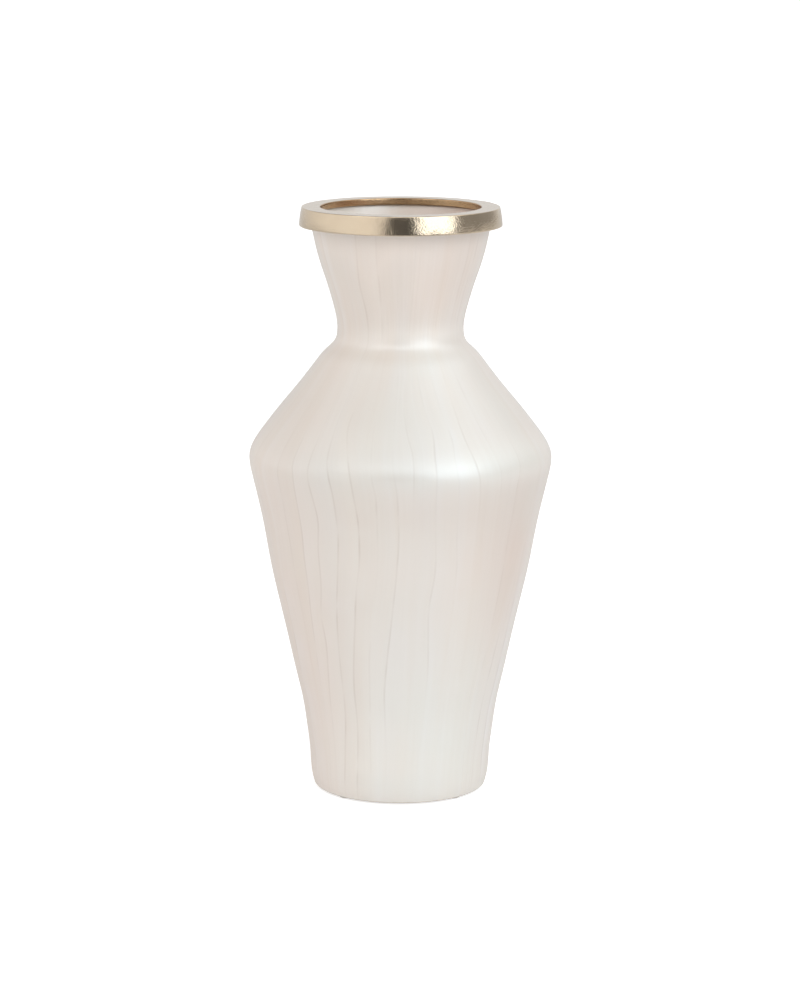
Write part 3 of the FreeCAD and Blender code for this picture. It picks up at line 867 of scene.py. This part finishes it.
# ------------------------------------------------------------------ stage
fm, nt, p = material("pale_floor")
p.inputs["Base Color"].default_value = (0.70, 0.70, 0.70, 1)
p.inputs["Roughness"].default_value = 0.9
p.inputs["Specular IOR Level"].default_value = 0.1
p.inputs["Emission Color"].default_value = (1, 1, 1, 1)
# a clean white paper floor to the camera, a dimmer one to everything that it lights
nt.links.new(span(nt, nt.nodes.new("ShaderNodeLightPath").outputs["Is Camera Ray"], 0.0, 1.0, 0.213, 0.64),
             p.inputs["Emission Strength"])
me = bpy.data.meshes.new("studio_floor")
g = 14.0
me.from_pydata([(-g, -1.4, 0), (g, -1.4, 0), (g, g, 0), (-g, g, 0)], [], [(0, 1, 2, 3)])
floor = bpy.data.objects.new("studio_floor", me)
bpy.context.scene.collection.objects.link(floor)
me.materials.append(fm)

# ------------------------------------------------------------------ camera
base = LIFT * MM
cam = bpy.data.cameras.new("camera")
cam.sensor_width = 36.0
cam.lens = 124.0
cam.clip_start, cam.clip_end = 0.05, 200.0
co = bpy.data.objects.new("camera", cam)
bpy.context.scene.collection.objects.link(co)
from mathutils import Euler, Matrix
tilt = Euler((math.radians(90 - 10.814), 0, 0)).to_matrix().to_4x4()
co.matrix_world = Matrix.Translation((-0.0001, -2.3495, 0.650405 + base)) @ tilt @ Matrix.Rotation(math.radians(0.14), 4, "Z")
bpy.context.scene.camera = co


# ------------------------------------------------------------------ light
def softbox(name, az, el, dist, w, h, power, target=(0, 0, 0.24), color=(1, 1, 1), spread=180):
    """az in degrees from -Y towards +X, el above the horizon, seen from the target."""
    a, e = math.radians(az), math.radians(el)
    d = np.array([math.sin(a) * math.cos(e), -math.cos(a) * math.cos(e), math.sin(e)])
    l = bpy.data.lights.new(name, "AREA")
    l.shape, l.size, l.size_y = "RECTANGLE", w, h
    l.energy, l.color, l.spread = power, color, math.radians(spread)
    o = bpy.data.objects.new(name, l)
    bpy.context.scene.collection.objects.link(o)
    from mathutils import Vector
    pos = Vector(np.array(target) + d * dist)
    o.matrix_world = Matrix.Translation(pos) @ Vector(d).to_track_quat("Z", "Y").to_matrix().to_4x4()
    o.visible_camera = False
    return o


softbox("key_a", 41.5, 5, 2.3, 1.8, 0.56, 7.92, target=(0, 0, 0.36), color=(0.93, 0.985, 1.04))
softbox("key_b", 41.5, 19, 2.3, 1.8, 0.56, 7.92, target=(0, 0, 0.36), color=(0.93, 0.985, 1.04))
softbox("key_c", 41.5, 33, 2.3, 1.8, 0.56, 6.33, target=(0, 0, 0.36), color=(0.93, 0.985, 1.04))
softbox("key_overhead", 22, 48, 2.3, 2.4, 0.6, 5.19, target=(0, 0, 0.36), color=(0.93, 0.985, 1.04))
softbox("left_front", -42, 44, 2.3, 1.3, 0.8, 1.10)

w = bpy.data.worlds.new("studio")
bpy.context.scene.world = w
w.use_nodes = True
nt = w.node_tree
nt.nodes.clear()
out = nt.nodes.new("ShaderNodeOutputWorld")
bg = nt.nodes.new("ShaderNodeBackground")
nt.links.new(bg.outputs[0], out.inputs[0])
gen = nt.nodes.new("ShaderNodeTexCoord").outputs["Generated"]
sep = nt.nodes.new("ShaderNodeSeparateXYZ")
nt.links.new(gen, sep.inputs[0])
x, y, z = sep.outputs
# azimuth from -Y towards +X, and elevation, in degrees
az = math_node(nt, "MULTIPLY", math_node(nt, "ARCTAN2", x, math_node(nt, "MULTIPLY", y, -1.0)), 57.29578)
el = math_node(nt, "MULTIPLY", math_node(nt, "ARCSINE", z), 57.29578)


def around(name, stops):
    """Level by azimuth, from (degrees, level) stops."""
    n = nt.nodes.new("ShaderNodeFloatCurve")
    n.name = name
    c = n.mapping.curves[0]
    pts = [((a + 180.0) / 360.0, v / 4.0) for a, v in stops]
    while len(c.points) < len(pts):
        c.points.new(0.5, 0.5)
    for q, (px_, py_) in zip(c.points, pts):
        q.location = (px_, py_)
        q.handle_type = "VECTOR"
    n.mapping.update()
    nt.links.new(span(nt, az, -180, 180), n.inputs["Value"])
    return math_node(nt, "MULTIPLY", n.outputs[0], 4.0)


low = around("low", [(-180, 0.80), (-150, 0.79), (-120, 0.98), (-90, 1.13), (-65, 1.13), (-46, 1.19), (-30, 1.14),
                     (-17, 0.78), (-14, 0.12), (11, 0.12), (14, 0.03), (32, 0.00), (48, 0.00), (62, 0.00), (68, 0.34),
                     (100, 0.34), (130, 0.42), (155, 0.92), (180, 0.80)])
mid = around("mid", [(-180, 0.15), (-135, 0.43), (-105, 0.87), (-75, 1.01), (-45, 1.97), (-15, 1.20), (15, 1.07),
                     (45, 0.94), (75, 1.85), (105, 1.22), (135, 0.78), (180, 0.15)])
top = around("top", [(-180, 0.30), (-90, 0.30), (0, 0.30), (90, 0.76), (180, 0.30)])
up, high = span(nt, el, 22, 34), span(nt, el, 48, 62)
level = math_node(nt, "MULTIPLY", low, math_node(nt, "SUBTRACT", 1.0, up))
level = math_node(nt, "ADD", level, math_node(nt, "MULTIPLY", mid, math_node(nt, "SUBTRACT", up, high)))
level = math_node(nt, "ADD", level, math_node(nt, "MULTIPLY", top, high))
comb = nt.nodes.new("ShaderNodeCombineColor")
for i in range(3):
    nt.links.new(level, comb.inputs[i])
lp = nt.nodes.new("ShaderNodeLightPath")
nt.links.new(mix_color(nt, lp.outputs["Is Camera Ray"], comb.outputs[0], (1.0, 1.0, 1.0)), bg.inputs["Color"])
bg.inputs["Strength"].default_value = 1.0

sc = bpy.context.scene
sc.view_settings.view_transform = "Standard"
sc.view_settings.look = "None"
sc.view_settings.exposure = 0.0
sc.view_settings.gamma = 1.0

print("columns", NC, "rows", len(ZR), "veins", NV, "faces", [len(o.data.polygons) for o in (vase, collar, pads)])
